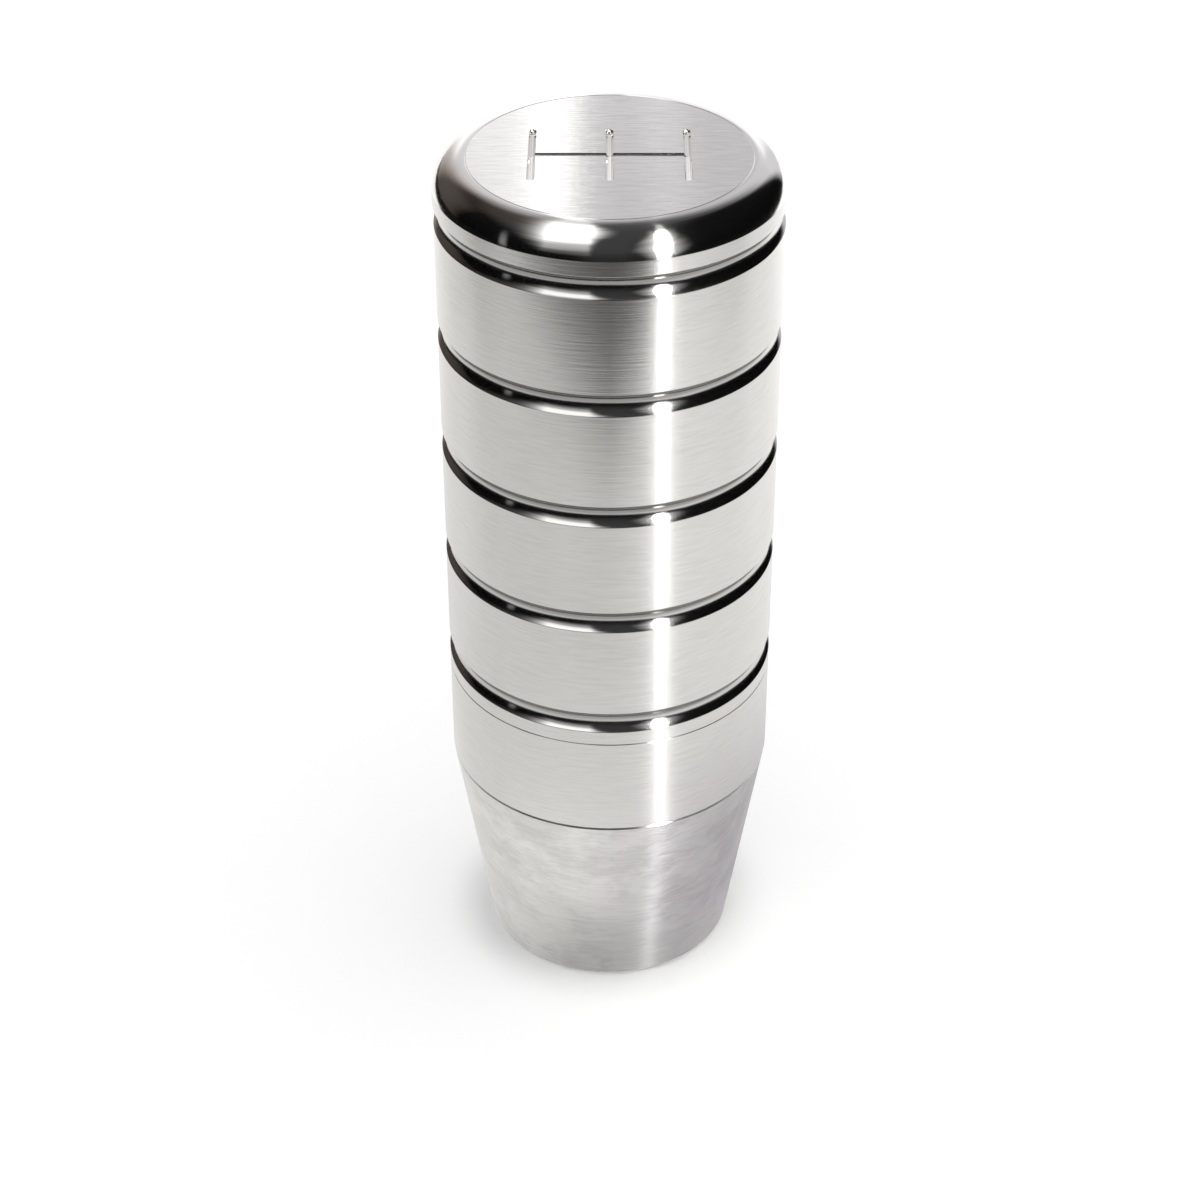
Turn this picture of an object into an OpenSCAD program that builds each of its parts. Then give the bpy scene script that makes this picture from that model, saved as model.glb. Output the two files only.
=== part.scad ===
// Gear shift knob, turned in one piece from round aluminium bar.
// It stands on its flat base, centred on the Z axis. Lengths are in millimetres.

/* [Grip] */
// Diameter of the grip
grip_d = 32; // [26:0.5:45]
// Height from the base to the flat top
height = 87; // [75:0.5:110]

/* [Tapered foot] */
// Diameter of the flat base
base_d = 24.9; // [18:0.1:25.9]
// Height at which the foot's taper meets the grip
taper_h = 22.4; // [10:0.2:30]
// Chamfer round the base
base_chamfer = 0.4; // [0.1:0.1:1]

/* [Finger grooves] */
// Number of grooves round the grip
groove_n = 5; // [1:1:5]
// Distance from one groove to the next
groove_pitch = 11.65; // [6:0.05:12.5]
// Width of a groove at the surface
groove_w = 2.2; // [1:0.1:4]
// Depth of a groove, which has a round bottom
groove_depth = 0.65; // [0.2:0.05:1]

/* [Cap] */
// How far the cap stands proud of the grip all round
cap_proud = 0.1; // [0:0.05:1]
// Straight land of the cap, above the first groove
cap_land_h = 1.5; // [0.5:0.05:4]
// Height of the rounded shoulder above the cap's land
shoulder_h = 2.5; // [1:0.05:3]
// Radius of the rounded shoulder, which runs tangent into the flat top
shoulder_r = 3.15; // [3:0.05:9]

/* [Threaded bore] */
// Nominal diameter of the thread for the gear lever
thread_d = 10; // [8:1:14]
// Pitch of the thread
thread_pitch = 1.5; // [1:0.25:2]
// Depth of the bore at its full diameter
bore_depth = 28; // [15:0.5:40]
// Angle of the drilled point at the bore's blind end
drill_point = 118; // [90:1:140]
// How far the countersunk mouth reaches outside the thread
mouth_margin = 0.5; // [0.1:0.1:1]

/* [Hidden] */

grip_r = grip_d / 2;
base_r = base_d / 2;
cap_r = grip_r + cap_proud;

// The shoulder is an arc that starts level at the flat top and ends at a corner above the land
shoulder_z = height - shoulder_h;
shoulder_reach = sqrt(shoulder_r ^ 2 - (shoulder_r - shoulder_h) ^ 2);
flat_r = cap_r - shoulder_reach;

// The cap ends at the middle of the first groove, which hides the step down to the grip
first_groove_z = shoulder_z - cap_land_h - groove_w / 2;

// Circle that cuts a groove of the given width and depth
groove_r = (groove_w ^ 2 / 4 + groove_depth ^ 2) / (2 * groove_depth);

// Tapping drill, its point and the countersink that leads the thread in
bore_d = thread_d - thread_pitch;
point_h = bore_d / 2 / tan(drill_point / 2);
mouth_d = thread_d + 2 * mouth_margin;
mouth_depth = (mouth_d - bore_d) / 2;

// Smoothness of round forms, and how far a cut runs past the surface it opens
round_fn = 180;
past = 1;

// Half section of the bar before it is grooved
module blank_outline() {
    polygon([
        [0, 0],
        [base_r - base_chamfer, 0],
        [base_r, base_chamfer],
        [grip_r, taper_h],
        [grip_r, first_groove_z],
        [cap_r, first_groove_z],
        [cap_r, shoulder_z],
        [flat_r, shoulder_z],
        [flat_r, height],
        [0, height]
    ]);
    shoulder_outline();
}

// Part of the shoulder's circle that lies above the cap's land
module shoulder_outline() {
    intersection() {
        translate([flat_r, height - shoulder_r]) circle(r = shoulder_r, $fn = round_fn);
        translate([flat_r, shoulder_z]) square([shoulder_reach, shoulder_h]);
    }
}

// Round-bottomed cuts, spaced down the grip from the cap
module groove_cuts() {
    for (i = [0 : groove_n - 1])
        translate([grip_r + groove_r - groove_depth, first_groove_z - i * groove_pitch])
            circle(r = groove_r, $fn = round_fn);
}

// Blind hole in the base, drilled to tapping size and countersunk
module threaded_bore() {
    translate([0, 0, -past]) cylinder(d = bore_d, h = bore_depth + past, $fn = round_fn);
    translate([0, 0, bore_depth])
        cylinder(d1 = bore_d, d2 = 0, h = point_h, $fn = round_fn);
    translate([0, 0, -past])
        cylinder(d1 = mouth_d + 2 * past, d2 = bore_d, h = mouth_depth + past, $fn = round_fn);
}

module knob() {
    color([0.78, 0.78, 0.77])
        difference() {
            rotate_extrude($fn = round_fn)
                difference() {
                    blank_outline();
                    groove_cuts();
                }
            threaded_bore();
        }
}

knob();
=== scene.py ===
from math import acos, asin, atan2, cos, hypot, pi, radians, sin, sqrt, tan

import bmesh
import bpy
from mathutils import Matrix, Vector


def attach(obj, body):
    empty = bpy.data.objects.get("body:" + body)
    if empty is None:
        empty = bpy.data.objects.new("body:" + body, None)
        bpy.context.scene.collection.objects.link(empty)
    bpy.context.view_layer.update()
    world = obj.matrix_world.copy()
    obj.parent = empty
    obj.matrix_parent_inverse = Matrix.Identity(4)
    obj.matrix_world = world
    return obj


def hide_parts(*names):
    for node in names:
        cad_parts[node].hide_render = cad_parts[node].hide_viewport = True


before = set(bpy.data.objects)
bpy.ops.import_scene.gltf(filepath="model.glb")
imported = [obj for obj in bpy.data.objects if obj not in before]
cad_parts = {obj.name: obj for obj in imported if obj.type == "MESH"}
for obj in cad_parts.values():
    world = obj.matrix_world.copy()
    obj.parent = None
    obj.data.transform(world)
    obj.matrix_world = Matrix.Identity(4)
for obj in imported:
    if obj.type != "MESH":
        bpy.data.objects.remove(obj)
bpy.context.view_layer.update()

# The knob is one bar of aluminium, turned in a lathe: a grooved grip, a cap with a rounded shoulder
# and a flat top, and a tapered foot. Sizes here are in millimetres, as on a turner's drawing.
MILLIMETRE = 0.001
GRIP_R = 16.0
CAP_R = 16.1
HEIGHT = 87.0
BASE_R = 12.45
BASE_CHAMFER = 0.4
TAPER_TOP = 22.4
GROOVES = 5
GROOVE_PITCH = 11.65
GROOVE_WIDTH = 2.2
GROOVE_DEPTH = 0.65
CAP_LAND = 1.5
SHOULDER_HEIGHT = 2.5
SHOULDER_R = 3.15
SHOULDER_STEPS = 24
GROOVE_STEPS = 26
ROUND_STEPS = 192
WELD = 1e-4

shoulder_z = HEIGHT - SHOULDER_HEIGHT
flat_r = CAP_R - sqrt(SHOULDER_R**2 - (SHOULDER_R - SHOULDER_HEIGHT) ** 2)
top_groove_z = shoulder_z - CAP_LAND - GROOVE_WIDTH / 2
groove_r = (GROOVE_WIDTH**2 / 4 + GROOVE_DEPTH**2) / (2 * GROOVE_DEPTH)
groove_centre_r = GRIP_R + groove_r - GROOVE_DEPTH
groove_heights = [top_groove_z - i * GROOVE_PITCH for i in range(GROOVES)]


def cut_to(mesh, corner, r, z):
    """Carries a section on with a straight cut and returns its new end."""
    end = mesh.verts.new((r, 0, z))
    mesh.edges.new((corner, end))
    return end


def round_about(mesh, corner, r, z, angle, steps):
    """Carries a section on with an arc about a centre and returns its new end."""
    swept = bmesh.ops.spin(mesh, geom=[corner], cent=(r, 0, z), axis=(0, 1, 0), angle=angle, steps=steps)
    return next(g for g in swept["geom_last"] if isinstance(g, bmesh.types.BMVert))


def turn(mesh, axis, steps):
    """Spins a finished section all the way round."""
    bmesh.ops.spin(mesh, geom=mesh.verts[:] + mesh.edges[:], cent=(0, 0, 0), axis=axis, angle=2 * pi,
                   steps=steps, use_merge=True)
    bmesh.ops.remove_doubles(mesh, verts=mesh.verts, dist=WELD)


def ring(mesh, r, z, near=1e-3):
    """Edges that run round the axis at one radius and height."""
    return [e for e in mesh.edges
            if all(abs(hypot(v.co.x, v.co.y) - r) < near and abs(v.co.z - z) < near for v in e.verts)]


def stock(name, mesh):
    """Makes an object of a finished bmesh."""
    data = bpy.data.meshes.new(name)
    mesh.to_mesh(data)
    mesh.free()
    made = bpy.data.objects.new(name, data)
    bpy.context.scene.collection.objects.link(made)
    return made


# The facing cut ends in a hair line where the polished shoulder starts
FACE_LINE = 0.05
FACE_LINE_DEPTH = 0.02
face_r = flat_r - 3 * FACE_LINE
bar = bmesh.new()
corner = bar.verts.new((face_r, 0, HEIGHT))
corner = cut_to(bar, corner, flat_r - 2 * FACE_LINE, HEIGHT)
corner = cut_to(bar, corner, flat_r - FACE_LINE, HEIGHT - FACE_LINE_DEPTH)
corner = cut_to(bar, corner, flat_r, HEIGHT)
shoulder_sweep = acos(1 - SHOULDER_HEIGHT / SHOULDER_R)
corner = round_about(bar, corner, flat_r, HEIGHT - SHOULDER_R, shoulder_sweep, SHOULDER_STEPS)

# Each groove is an arc from its upper lip to its lower one; the first starts on the wider cap
lips = []
for z in groove_heights:
    upper_r = CAP_R if z == top_groove_z else GRIP_R
    upper_z = z + sqrt(groove_r**2 - (groove_centre_r - upper_r) ** 2)
    corner = cut_to(bar, corner, upper_r, upper_z)
    sweep = asin((upper_z - z) / groove_r) + asin(GROOVE_WIDTH / 2 / groove_r)
    corner = round_about(bar, corner, groove_centre_r, z, -sweep, GROOVE_STEPS)
    lips += [(upper_r, upper_z), (GRIP_R, z - GROOVE_WIDTH / 2)]

# A scribed line below the last groove, the tool's relief where the taper starts, and the base
SCRIBE_Z = 32.7
SCRIBE_WIDTH = 0.12
SCRIBE_DEPTH = 0.04
RELIEF_DEPTH = 0.12
RELIEF_RUN_OUT = 0.04
for r, z in [(GRIP_R, SCRIBE_Z + SCRIBE_WIDTH / 2),
             (GRIP_R - SCRIBE_DEPTH, SCRIBE_Z),
             (GRIP_R, SCRIBE_Z - SCRIBE_WIDTH / 2),
             (GRIP_R, TAPER_TOP + 0.05),
             (GRIP_R - RELIEF_DEPTH, TAPER_TOP - 0.07),
             (GRIP_R - RELIEF_RUN_OUT, TAPER_TOP - 0.25),
             (BASE_R, BASE_CHAMFER),
             (BASE_R - BASE_CHAMFER, 0)]:
    corner = cut_to(bar, corner, r, z)

# The base is drilled to tapping size with a pointed drill, and its mouth is countersunk
THREAD_R = 5.0
THREAD_PITCH = 1.5
BORE_R = THREAD_R - THREAD_PITCH / 2
BORE_DEPTH = 28.0
DRILL_POINT = radians(118)
MOUTH_R = THREAD_R + 0.5
for r, z in [(MOUTH_R, 0), (BORE_R, MOUTH_R - BORE_R), (BORE_R, BORE_DEPTH),
             (0, BORE_DEPTH + BORE_R / tan(DRILL_POINT / 2))]:
    corner = cut_to(bar, corner, r, z)

# The section is turned round the axis, the face is closed, and the sharp lips are broken
LIP_BREAK = 0.03
turn(bar, (0, 0, 1), ROUND_STEPS)
bmesh.ops.contextual_create(bar, geom=ring(bar, face_r, HEIGHT))
bmesh.ops.recalc_face_normals(bar, faces=bar.faces)
broken = [edge for r, z in lips for edge in ring(bar, r, z)]
broken += ring(bar, BASE_R - BASE_CHAMFER, 0) + ring(bar, BASE_R, BASE_CHAMFER)
bmesh.ops.bevel(bar, geom=broken, offset=LIP_BREAK, segments=2, profile=0.5, affect="EDGES", material=-1)
knob = stock("turned_knob", bar)

# The thread is cut by a tap: one V-shaped ridge, swept up a helix from below the mouth
TAP_STEPS = 48
TAP_TURNS = 17
TAP_START = -1.0
TAP_ROOT_R = 4.1
TAP_ROOT_HALF = 0.62
TAP_CREST_HALF = 0.094
tap = bmesh.new()
flank = [(TAP_ROOT_R, TAP_ROOT_HALF), (THREAD_R, TAP_CREST_HALF),
         (THREAD_R, -TAP_CREST_HALF), (TAP_ROOT_R, -TAP_ROOT_HALF)]
tooth = [tap.verts.new((r, 0, TAP_START + z)) for r, z in flank]
first = [tap.edges.new((tooth[i - 1], tooth[i])) for i in range(4)]
swept = bmesh.ops.spin(tap, geom=tooth + first, cent=(0, 0, 0), axis=(0, 0, 1), angle=2 * pi * TAP_TURNS,
                       steps=TAP_STEPS * TAP_TURNS, dvec=(0, 0, THREAD_PITCH / TAP_STEPS))
bmesh.ops.contextual_create(tap, geom=first)
bmesh.ops.contextual_create(tap, geom=[g for g in swept["geom_last"] if isinstance(g, bmesh.types.BMEdge)])
bmesh.ops.recalc_face_normals(tap, faces=tap.faces)
cutters = [stock("tap", tap)]

# The top carries a plain gate pattern, engraved with a ball-nosed cutter
NOSE_R = 0.35
NOSE_LIFT = 0.08
NOSE_ROUND_STEPS = 48
NOSE_END_STEPS = 12
GATE_LINES = [((-7, -5), (-7, 5)), ((0, -5), (0, 5)), ((7, -5), (7, 5)), ((-7, 0), (7, 0))]
for (x0, y0), (x1, y1) in GATE_LINES:
    nose = bmesh.new()
    length = hypot(x1 - x0, y1 - y0)
    corner = nose.verts.new((-NOSE_R, 0, 0))
    corner = round_about(nose, corner, 0, 0, pi / 2, NOSE_END_STEPS)
    corner = cut_to(nose, corner, length, NOSE_R)
    corner = round_about(nose, corner, length, 0, pi / 2, NOSE_END_STEPS)
    turn(nose, (1, 0, 0), NOSE_ROUND_STEPS)
    bmesh.ops.recalc_face_normals(nose, faces=nose.faces)
    heading = Matrix.Rotation(atan2(y1 - y0, x1 - x0), 3, "Z")
    bmesh.ops.rotate(nose, verts=nose.verts, cent=(0, 0, 0), matrix=heading)
    bmesh.ops.translate(nose, verts=nose.verts, vec=(x0, y0, HEIGHT + NOSE_LIFT))
    cutters.append(stock("engraver", nose))

for cutter in cutters:
    cut = knob.modifiers.new("cut", "BOOLEAN")
    cut.operation = "DIFFERENCE"
    cut.solver = "EXACT"
    cut.object = cutter
bpy.context.view_layer.update()
machined = bpy.data.meshes.new_from_object(knob.evaluated_get(bpy.context.evaluated_depsgraph_get()))
knob.modifiers.clear()
knob.data = machined
for cutter in cutters:
    bpy.data.objects.remove(cutter)

# Faces are told apart by the tool that left them, each with its own finish
LAND, POLISH, FACE, TAPER, BORE = range(5)
FACE_SINK = 0.5
SHARP = radians(10)
bar = bmesh.new()
bar.from_mesh(machined)
for face in bar.faces:
    face.smooth = True
    middle = face.calc_center_median()
    r, z = hypot(middle.x, middle.y), middle.z
    in_groove = any(abs(z - centre) < GROOVE_WIDTH / 2 + LIP_BREAK for centre in groove_heights)
    if r < MOUTH_R and z < HEIGHT / 2:
        face.material_index = BORE
    elif z > shoulder_z + 0.01 and (r > flat_r - 0.01 or z < HEIGHT - 0.001):
        face.material_index = POLISH
    elif z > HEIGHT - FACE_SINK:
        face.material_index = FACE
    elif z < TAPER_TOP:
        face.material_index = TAPER
    elif in_groove and r < GRIP_R - 0.001:
        face.material_index = POLISH
    else:
        face.material_index = LAND
for edge in bar.edges:
    edge.smooth = edge.calc_face_angle(0) < SHARP
bmesh.ops.scale(bar, verts=bar.verts, vec=Vector((1, 1, 1)) * MILLIMETRE)
bar.to_mesh(machined)
bar.free()


class Feed:
    """The output of a shader node, written in sums as if it were a number."""

    def __init__(self, tree, socket=None):
        self.tree, self.socket = tree, socket

    def node(self, kind, settings, inputs, out=0):
        """Adds a node with its settings, then its inputs, and returns one of its outputs."""
        made = self.tree.nodes.new("ShaderNode" + kind)
        for name, value in settings.items():
            if name == "stops":
                ramp = made.color_ramp
                while len(ramp.elements) < len(value):
                    ramp.elements.new(1)
                for element, (position, shade) in zip(ramp.elements, value):
                    element.position, element.color = position, (shade, shade, shade, 1)
            else:
                setattr(made, name, value)
        for key, value in inputs.items():
            if isinstance(value, Feed):
                self.tree.links.new(value.socket, made.inputs[key])
            else:
                made.inputs[key].default_value = value
        return Feed(self.tree, made.outputs[out] if made.outputs else None)

    def maths(self, operation, first, second=0.0):
        return self.node("Math", {"operation": operation}, {0: first, 1: second})

    def __add__(self, other):
        return self.maths("ADD", self, other)

    def __sub__(self, other):
        return self.maths("SUBTRACT", self, other)

    def __rsub__(self, other):
        return self.maths("SUBTRACT", other, self)

    def __mul__(self, other):
        return self.maths("MULTIPLY", self, other)

    def __truediv__(self, other):
        return self.maths("DIVIDE", self, other)

    __radd__, __rmul__ = __add__, __mul__

    def step(self, low, high, start=0.0, end=1.0):
        """Goes smoothly from start to end while this value goes from low to high."""
        return self.node("MapRange", {"interpolation_type": "SMOOTHSTEP"},
                         {"Value": self, "From Min": low, "From Max": high, "To Min": start, "To Max": end})

    def colours(self, factor, first, second, blend="MIX"):
        """Two colours mixed."""
        return self.node("Mix", {"data_type": "RGBA", "blend_type": blend}, {0: factor, 6: first, 7: second}, 2)

    def parts(self):
        """The X, Y and Z of a vector."""
        return [self.node("SeparateXYZ", {}, {0: self}, axis) for axis in range(3)]


ALUMINIUM = (0.84, 0.825, 0.805)
DOWN_THE_BAR = 0.25


def finish_of(name):
    """A new material with an empty tree, and where it is on the object."""
    material = bpy.data.materials.new(name)
    material.use_nodes = True
    material.node_tree.nodes.clear()
    start = Feed(material.node_tree)
    return material, start, start.node("TexCoord", {}, {}, "Object")


def put_on(piece, material, start, surface):
    """Ends a material's tree and gives the material to a piece."""
    start.node("OutputMaterial", {}, {"Surface": surface})
    piece.data.materials.append(material)


def noise(where, stretch, detail=2.0, roughness=0.5):
    """Noise whose grains are as fine, along X, Y and Z, as stretch says per metre."""
    stretched = where.node("VectorMath", {"operation": "MULTIPLY"}, {0: where, 1: stretch})
    return where.node("TexNoise", {}, {"Vector": stretched, "Scale": 1.0, "Detail": detail,
                                       "Roughness": roughness}, "Fac")


def tool_marks(start, lines, depth):
    """The lines that a tool leaves, as a bump of so many metres."""
    return start.node("Bump", {}, {"Strength": 1.0, "Distance": depth, "Height": lines})


def tint(start, amount, dark=0.91):
    """Aluminium, from its darkest at nothing to its full lightness at one."""
    return start.colours(amount, (*[c * dark for c in ALUMINIUM], 1), (*ALUMINIUM, 1))


def metal(start, colour, roughness, marks, anisotropic=0.0):
    """Bare metal, whose shine is drawn out down the bar where it is anisotropic."""
    return start.node("BsdfPrincipled", {}, {
        "Base Color": colour, "Metallic": 1.0, "Roughness": roughness, "Normal": marks,
        "Anisotropic": anisotropic, "Anisotropic Rotation": DOWN_THE_BAR if anisotropic else 0.0})


def hazed(start, haze_share, core, haze):
    """A tight shine with a share of a wide one, as fine tool marks give it."""
    return start.node("MixShader", {}, {0: haze_share, 1: core, 2: haze})


# Grip lands: fine turned lines that run round the bar and draw every lamp out into a long streak
material, start, place = finish_of("turned_land")
streaks = noise(place, (400, 400, 5200), 4.0, 0.65)
smudge = noise(place, (90, 90, 60), 3.0)
marks = tool_marks(start, noise(place, (150, 150, 6000), 3.0, 0.6), 5e-6)
colour = tint(start, smudge.step(0.3, 0.6) * 0.45 + streaks.step(0.35, 0.6) * 0.55)
core = metal(start, colour, smudge.step(0.4, 0.7, 0.155, 0.135), marks, 0.83)
haze = metal(start, colour, 0.3, marks, 1.0)
put_on(knob, material, start, hazed(start, 0.23, core, haze))

# Shoulder and grooves: polished with a form tool. The grooves carry painted shade: their colour is darker than
# the shoulder's, and darkest in a band under each groove's upper lip
material, start, place = finish_of("polished_turning")
x, y, z = place.parts()
radius = start.maths("SQRT", x * x + y * y)
down_the_curve = start.node("CombineXYZ", {}, {0: x * 0.02, 1: y * 0.02, 2: z - radius})
marks = tool_marks(start, noise(down_the_curve, (4000, 4000, 4000)), 5e-6)
on_shoulder = z.step(0.0831, 0.0834)
top_lip = (top_groove_z + GROOVE_WIDTH / 2) * MILLIMETRE
below_lip = start.maths("MODULO", top_lip - z, GROOVE_PITCH * MILLIMETRE)
# Painted shade: a band under each groove's upper lip, and a lesser darkening over the whole groove
painted_shade_under_lip = below_lip.step(0.0001, 0.0006) * below_lip.step(0.0013, 0.0009)
painted_groove_shade = on_shoulder + (1 - on_shoulder) * (0.7 - painted_shade_under_lip * 0.42)
shader = metal(start, tint(start, painted_groove_shade, 0.25), 0.115 - on_shoulder * 0.015, marks, 0.9)
put_on(knob, material, start, shader)

# Top: brushed in straight lines from side to side
material, start, place = finish_of("brushed_face")
streaks = noise(place, (350, 4500, 10), 4.0, 0.6)
marks = tool_marks(start, noise(place, (180, 7000, 10), 3.0, 0.6), 6e-6)
colour = tint(start, streaks.step(0.35, 0.6), 0.9)
core = metal(start, colour, streaks.step(0.35, 0.65, 0.07, 0.05), marks)
haze = metal(start, colour, 0.42, marks)
put_on(knob, material, start, hazed(start, 0.14, core, haze))

# Foot: the taper is duller, with faint smears and stains from handling
material, start, place = finish_of("taper_turning")
streaks = noise(place, (400, 400, 5200), 4.0, 0.65)
smudge = noise(place, (170, 170, 300), 5.0, 0.6)
stain = noise(place, (110, 110, 160), 7.0, 0.72)
marks = tool_marks(start, noise(place, (150, 150, 5000), 3.0, 0.6), 6e-6)
cleanness = smudge.step(0.38, 0.58) * 0.25 + streaks.step(0.35, 0.6) * 0.3 + stain.step(0.4, 0.54) * 0.45
colour = tint(start, cleanness, 0.78)
core = metal(start, colour, smudge.step(0.4, 0.65, 0.24, 0.2), marks, 0.85)
haze = metal(start, colour, 0.27, marks, 1.0)
put_on(knob, material, start, hazed(start, 0.22, core, haze))

# Bore: as the drill and the tap left it
material, start, place = finish_of("tapped_bore")
marks = tool_marks(start, noise(place, (300, 300, 3000)), 5e-6)
put_on(knob, material, start, metal(start, (*ALUMINIUM, 1), 0.38, marks))

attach(knob, "root")
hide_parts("knob")

# The knob stands on a large pale sheet. The camera sees it lifted to white, with the soft shadow kept.
# What the metal mirrors of it is a painted reflection, set by place: lighter behind the knob and to the sides
# of the foot, with painted shadow close round the foot, darker in front and on its right and tinted violet
# there, and dark past a line in front, where the studio isn't lit.
FLOOR_R = 3.5
LIT_IN_FRONT = 0.133
LIT_ASIDE = 0.24
WHITE = (1, 1, 1, 1)
sheet_of_paper = bmesh.new()
bmesh.ops.create_circle(sheet_of_paper, cap_ends=True, segments=96, radius=FLOOR_R)
floor = stock("floor", sheet_of_paper)
material, start, place = finish_of("pale_floor")
x, y, z = place.parts()
camera_ray = start.node("LightPath", {}, {}, "Is Camera Ray")
glossy = start.node("LightPath", {}, {}, "Is Glossy Ray")
away = start.maths("SQRT", x * x + y * y)
far = away.step(0.02, 0.06)
near = 1 - far
before = start.maths("MAXIMUM", y / away * -1, 0)
# Painted shadow round the foot, darker in front and on the right, as the metal mirrors the sheet
shadow_in_front = before * before * away.step(0.0145, 0.027, -0.3, 0.38) * near
mirrored = x.step(-0.03, 0.1, 0.73, 0.90) * far + x.step(-0.03, 0.03, 0.86, 0.48) * near
mirrored = mirrored * (1 + shadow_in_front) + y.step(-0.02, 0.05, 0, 0.1) + y.step(0.05, 0.2, 0, 0.25)
left, right = start.maths("MINIMUM", x, 0), start.maths("MAXIMUM", x, 0)
front = (y + LIT_IN_FRONT - left * 0.22 - left * left * 2.35 + right * 0.25).step(-0.012, 0.012)
spread = start.maths("ABSOLUTE", x) - start.maths("MAXIMUM", y, 0) * x.step(-0.05, 0.05, 0.3, 0.5)
side = (spread - x.step(-0.05, 0.05, 0, 0.02)).step(LIT_ASIDE, 0.15)
tone = start.colours(x.step(-0.01, 0.02) * near, (1, 0.995, 0.985, 1), (1, 0.965, 1.03, 1))
tone = start.colours(1.0, tone, mirrored * front * side + 0.005, "MULTIPLY")
paper = start.node("BsdfDiffuse", {}, {"Color": (0.9, 0.9, 0.9, 1)})
# The lift to white is smaller close round the foot, which paints a contact shadow on top of the real soft
# shadow
lift_with_painted_shadow = start.node("Emission", {}, {"Color": camera_ray * away.step(0.0122, 0.018, 0.05, 0.25)})
lit = start.node("AddShader", {}, {0: paper, 1: lift_with_painted_shadow})
# The metal mirrors this painted reflection in place of the lit sheet
painted_reflection = start.node("Emission", {}, {"Color": tone})
put_on(floor, material, start, start.node("MixShader", {}, {0: glossy, 1: lit, 2: painted_reflection}))

# A large softbox hangs overhead to the left: its white panel, as an irregular sheet of light. Each row
# of corners is rim, panel, panel, rim, from front to back, as X and Y in units of its height.
KNOB_TOP = Vector((0, 0, HEIGHT * MILLIMETRE))
LIFT = 0.56
PANEL = [
    ((-3.6, -2.2), (-2.8, -2.9), (-0.75, -3.4), (-0.5, -3.4)),
    ((-2.5, -0.9), (-1.55, -1.70), (-0.5, -2.0), (-0.3, -2.0)),
    ((-2.1, -0.5), (-1.08, -1.12), (-0.35, -1.34), (-0.2, -1.34)),
    ((-1.79, -0.12), (-0.83, -0.75), (-0.27, -0.95), (-0.14, -0.95)),
    ((-1.4, 0.03), (-0.64, -0.50), (-0.19, -0.66), (-0.09, -0.66)),
    ((-1.2, 0.17), (-0.57, -0.32), (-0.175, -0.42), (-0.03, -0.42)),
    ((-1.0, 0.3), (-0.44, -0.11), (-0.12, -0.23), (0.07, -0.23)),
    ((-0.76, 0.40), (-0.37, 0.055), (-0.09, -0.05), (0.09, -0.07)),
    ((-0.64, 0.52), (-0.30, 0.225), (-0.08, 0.1), (0.08, 0.1)),
    ((-0.5, 0.67), (-0.235, 0.40), (-0.065, 0.30), (0.03, 0.30)),
    ((-0.38, 0.816), (-0.19, 0.60), (-0.06, 0.53), (-0.02, 0.53)),
    ((-0.24, 0.95), (-0.13, 0.83), (-0.06, 0.78), (-0.015, 0.78)),
    ((-0.15, 1.2), (-0.085, 1.15), (-0.037, 1.11), (-0.02, 1.11)),
    ((-0.12, 1.68), (-0.085, 1.66), (-0.044, 1.66), (-0.040, 1.66)),
    ((-0.22, 2.14), (-0.17, 2.14), (-0.044, 2.14), (-0.040, 2.14)),
    ((-0.3, 3.2), (-0.24, 3.2), (-0.044, 3.2), (-0.040, 3.2))]


def light_sheet(name, rows):
    """A sheet of light over the knob, with rows of four corners: rim, lamp, lamp, rim."""
    mesh = bmesh.new()
    across = mesh.loops.layers.uv.new("across")
    corners = [[mesh.verts.new(KNOB_TOP + Vector(corner)) for corner in row] for row in rows]
    for row, following in zip(corners, corners[1:]):
        for i in range(3):
            face = mesh.faces.new((row[i], row[i + 1], following[i + 1], following[i]))
            for loop, place_across in zip(face.loops, (i, i + 1, i + 1, i)):
                loop[across].uv = (place_across, 0)
    made = stock(name, mesh)
    made.visible_camera = made.visible_diffuse = False
    return made


def rims(start):
    """One on the lamp itself, and falling to nothing across its first and its second rim."""
    across = start.node("TexCoord", {}, {}, "UV").parts()[0]
    return start.maths("MINIMUM", across, 1), start.maths("MINIMUM", 3 - across, 1)


def glow(start, strength):
    """Light that is added to whatever lies behind the sheet."""
    return start.node("AddShader", {}, {0: start.node("BsdfTransparent", {}, {}),
                                        1: start.node("Emission", {}, {"Color": strength})})


softbox = light_sheet("softbox", [[(x * LIFT, y * LIFT, LIFT) for x, y in row] for row in PANEL])
material, start, place = finish_of("softbox_panel")
x, y, z = place.parts()
ahead = y / LIFT
shine = ahead.step(-0.98, -0.5, 0, 1.0) + ahead.step(-2.1, -1.25, 0.1, 0.5)
shine = shine - ahead.step(0.42, 0.8, 0, 0.95) + ahead.step(1.1, 1.8, 0, 0.75)
shine = shine - ahead.step(1.3, 1.8) * (x / LIFT).step(-0.055, -0.088, 0, 0.97)
first, second = rims(start)
soft = start.maths("POWER", first, 8) * start.maths("POWER", second, 3)
put_on(softbox, material, start, glow(start, shine * soft))

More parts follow.
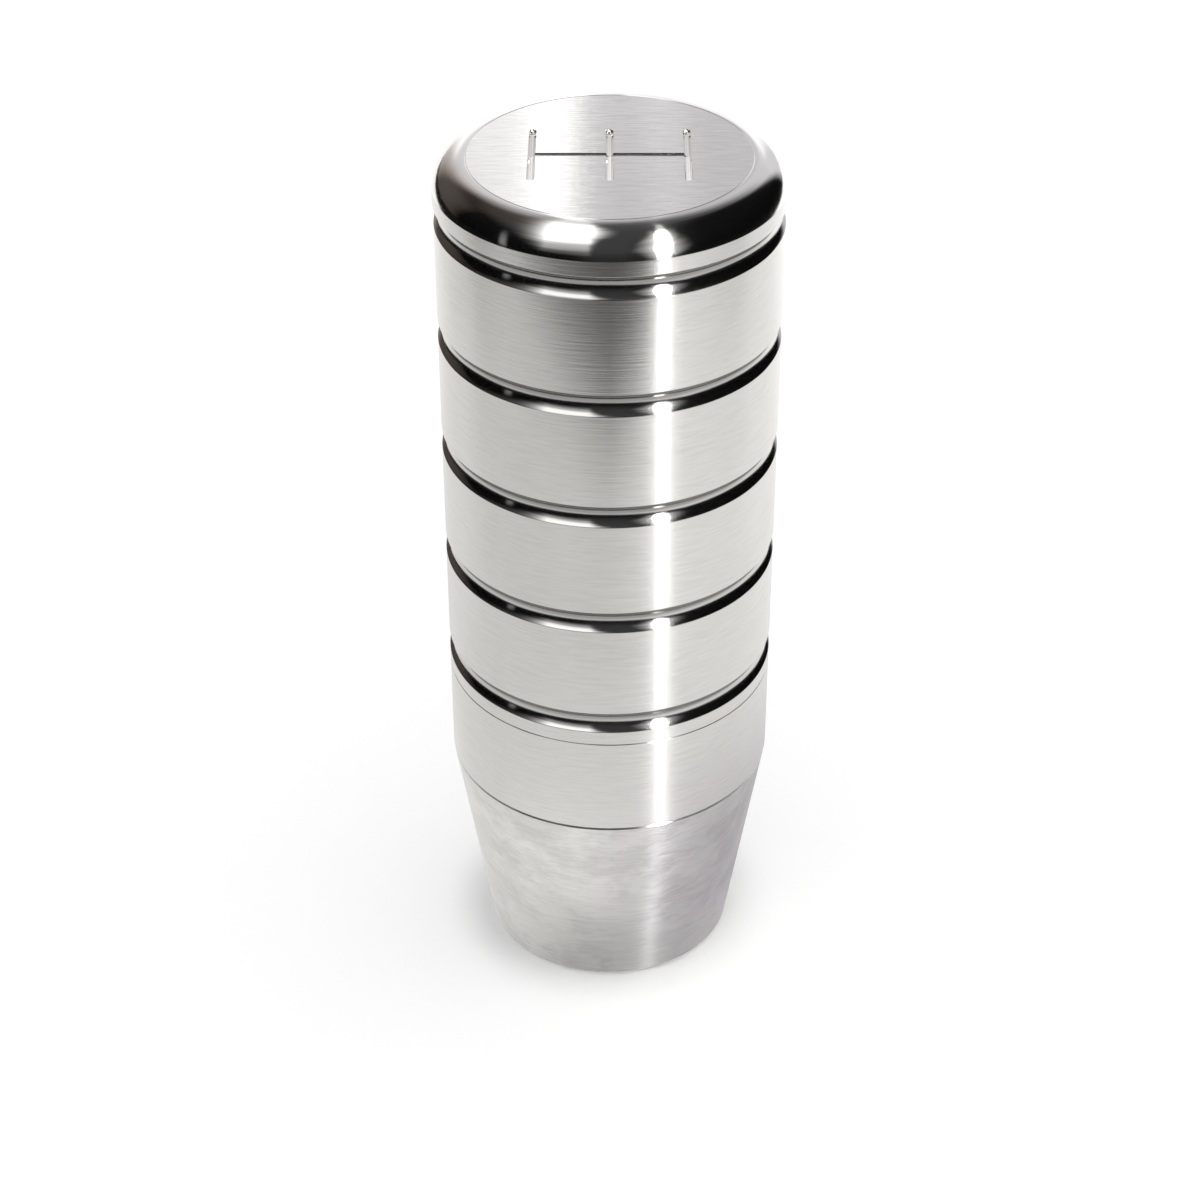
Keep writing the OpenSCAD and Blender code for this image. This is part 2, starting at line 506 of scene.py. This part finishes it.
# A long strip lamp curves over the knob from the front right and draws the bright line down it. Each
# row says where its two edges are, as azimuth from straight behind and height in degrees, and how far.
LAMP_PATH = [
    (150.8, 2, 146.6, 2, 1.5),
    (149.4, 7, 143.8, 6, 1.4),
    (150, 25, 141.5, 23.5, 1.1),
    (145.1, 42.2, 137, 40.2, 0.85),
    (131.5, 61.9, 124.5, 60.3, 0.6),
    (114.8, 69.4, 110, 67.7, 0.55),
    (87, 74.2, 84, 72, 0.52),
    (51.4, 73.2, 52.4, 71.5, 0.52),
    (26.9, 67.2, 29.1, 66.2, 0.54),
    (14.4, 59.8, 16.0, 59.1, 0.58),
    (8.4, 50.8, 9.3, 50.3, 0.6),
    (4.4, 41, 5.0, 41, 0.75),
    (1.3, 25.5, 1.85, 25.5, 1.1),
    (0.6, 15, 1.0, 15, 1.5)]
LAMP_RIM = 2.2
LAMP_SHINE = 38


def seen_at(azimuth, height, distance):
    """A place as seen from the top of the knob."""
    around, rise = radians(azimuth), radians(height)
    return Vector((sin(around) * cos(rise), cos(around) * cos(rise), sin(rise))) * distance


rows = []
for azimuth_a, height_a, azimuth_b, height_b, distance in LAMP_PATH:
    a, b = seen_at(azimuth_a, height_a, distance), seen_at(azimuth_b, height_b, distance)
    rows.append((a + (a - b) * LAMP_RIM, a, b, b - (a - b) * LAMP_RIM))
strip_lamp = light_sheet("strip_lamp", rows)
material, start, place = finish_of("strip_lamp")
x, y, z = place.parts()
shine = y.step(0.0, -0.09, 0, LAMP_SHINE) + y.step(0.28, 0.08, 0.05, 0.7) + y.step(0.5, 0.9, 0, 0.25)
first, second = rims(start)
rim = first * second
bloom = rim * rim * y.step(0.03, -0.06, 0.02, 0.8)
put_on(strip_lamp, material, start, glow(start, rim.step(0.97, 1) * shine + bloom))

# A narrow gap of daylight stands far off to the left, as wide as a half-open door
GAP_PATH = [(-112.5, -3), (-110.5, 15), (-107, 27), (-103, 36)]
GAP_HALF_WIDTH = 1.2
GAP_DISTANCE = 3.0
rows = []
for azimuth, height in GAP_PATH:
    a = seen_at(azimuth - GAP_HALF_WIDTH, height, GAP_DISTANCE)
    b = seen_at(azimuth + GAP_HALF_WIDTH, height, GAP_DISTANCE)
    rows.append((a + (a - b), a, b, b - (a - b)))
gap = light_sheet("daylight_gap", rows)
material, start, place = finish_of("daylight")
x, y, z = place.parts()
first, second = rims(start)
put_on(gap, material, start, glow(start, first * second * z.step(1.9, 0.7, 0.03, 0.2)))

# The room: white to the camera, an even fill on the floor, and for the metal a dim studio with a
# pale backdrop behind the knob, which fades upwards under an arch
BACKDROP_STOPS = [
    (0, 0.85), (0.1, 0.72), (0.3, 0.74), (0.4, 0.76), (0.46, 0.69), (0.52, 0.69), (0.57, 0.64),
    (0.62, 0.54), (0.68, 0.38), (0.73, 0.25), (0.79, 0.15), (0.85, 0.08), (1, 0.06)]
world = bpy.data.worlds.new("studio")
world.use_nodes = True
world.node_tree.nodes.clear()
bpy.context.scene.world = world
start = Feed(world.node_tree)
x, y, z = start.node("TexCoord", {}, {}, "Generated").parts()
camera_ray = start.node("LightPath", {}, {}, "Is Camera Ray")
glossy = start.node("LightPath", {}, {}, "Is Glossy Ray")
aside = x / start.maths("MAXIMUM", y, 0.001)
behind = y.step(0, 0.35)
arch = z + start.maths("MINIMUM", aside * aside * 0.3, 0.12)
arch = arch - z.step(0.62, 0.76, 0, 0.08) * aside.step(-0.05, -0.2)
backdrop = start.node("ValToRGB", {"stops": BACKDROP_STOPS}, {"Fac": arch})
sides = aside.step(0.80, 0.57) * (aside.step(-0.8, -0.15, 0, 0.9) + aside.step(-3.5, -0.9, 0, 0.1))
sides = sides * behind * (1 - aside.step(-0.03, 0.02) * aside.step(0.2, 0.05) * 0.2)
front = start.maths("ABSOLUTE", x).step(0.45, 0.1, 0.002, 0.048) * z.step(0.1, 0.6, 0.5, 1)
front = front + z.step(0.6, 0.85) * x.step(-0.1, -0.3) * 0.045
low = start.maths("ABSOLUTE", aside).step(0.38, 0.2) * z.step(0.4, 0.3, 0, 0.5) * behind
room = start.node("Mix", {}, {0: sides, 2: front, 3: backdrop}) + low
warm = start.colours(aside.step(-0.15, -0.7) * y.step(0, 0.2), (1, 0.99, 1.02, 1), (1.14, 0.96, 0.87, 1))
room = start.colours(1.0, room, warm, "MULTIPLY")
fill = start.colours(glossy, (0.9, 0.9, 0.9, 1), room)
shade = start.colours(camera_ray, fill, WHITE)
start.node("OutputWorld", {}, {"Surface": start.node("Background", {}, {"Color": shade})})

# The camera stands a little above the knob and looks down on it
CAMERA_PLACE = Vector((0, -0.2223, 0.1909))
CAMERA_AIM = Vector((-0.00095, 0, 0.03864))
CAMERA_ROLL = Matrix.Rotation(radians(-0.12), 3, "Z")
camera = bpy.data.objects.new("camera", bpy.data.cameras.new("camera"))
camera.data.lens = 81.11
camera.data.clip_start = 0.01
camera.location = CAMERA_PLACE
looking = (CAMERA_AIM - CAMERA_PLACE).to_track_quat("-Z", "Y").to_matrix()
camera.rotation_euler = (looking @ CAMERA_ROLL).to_euler()
bpy.context.scene.collection.objects.link(camera)
bpy.context.scene.camera = camera
bpy.context.scene.view_settings.view_transform = "Standard"
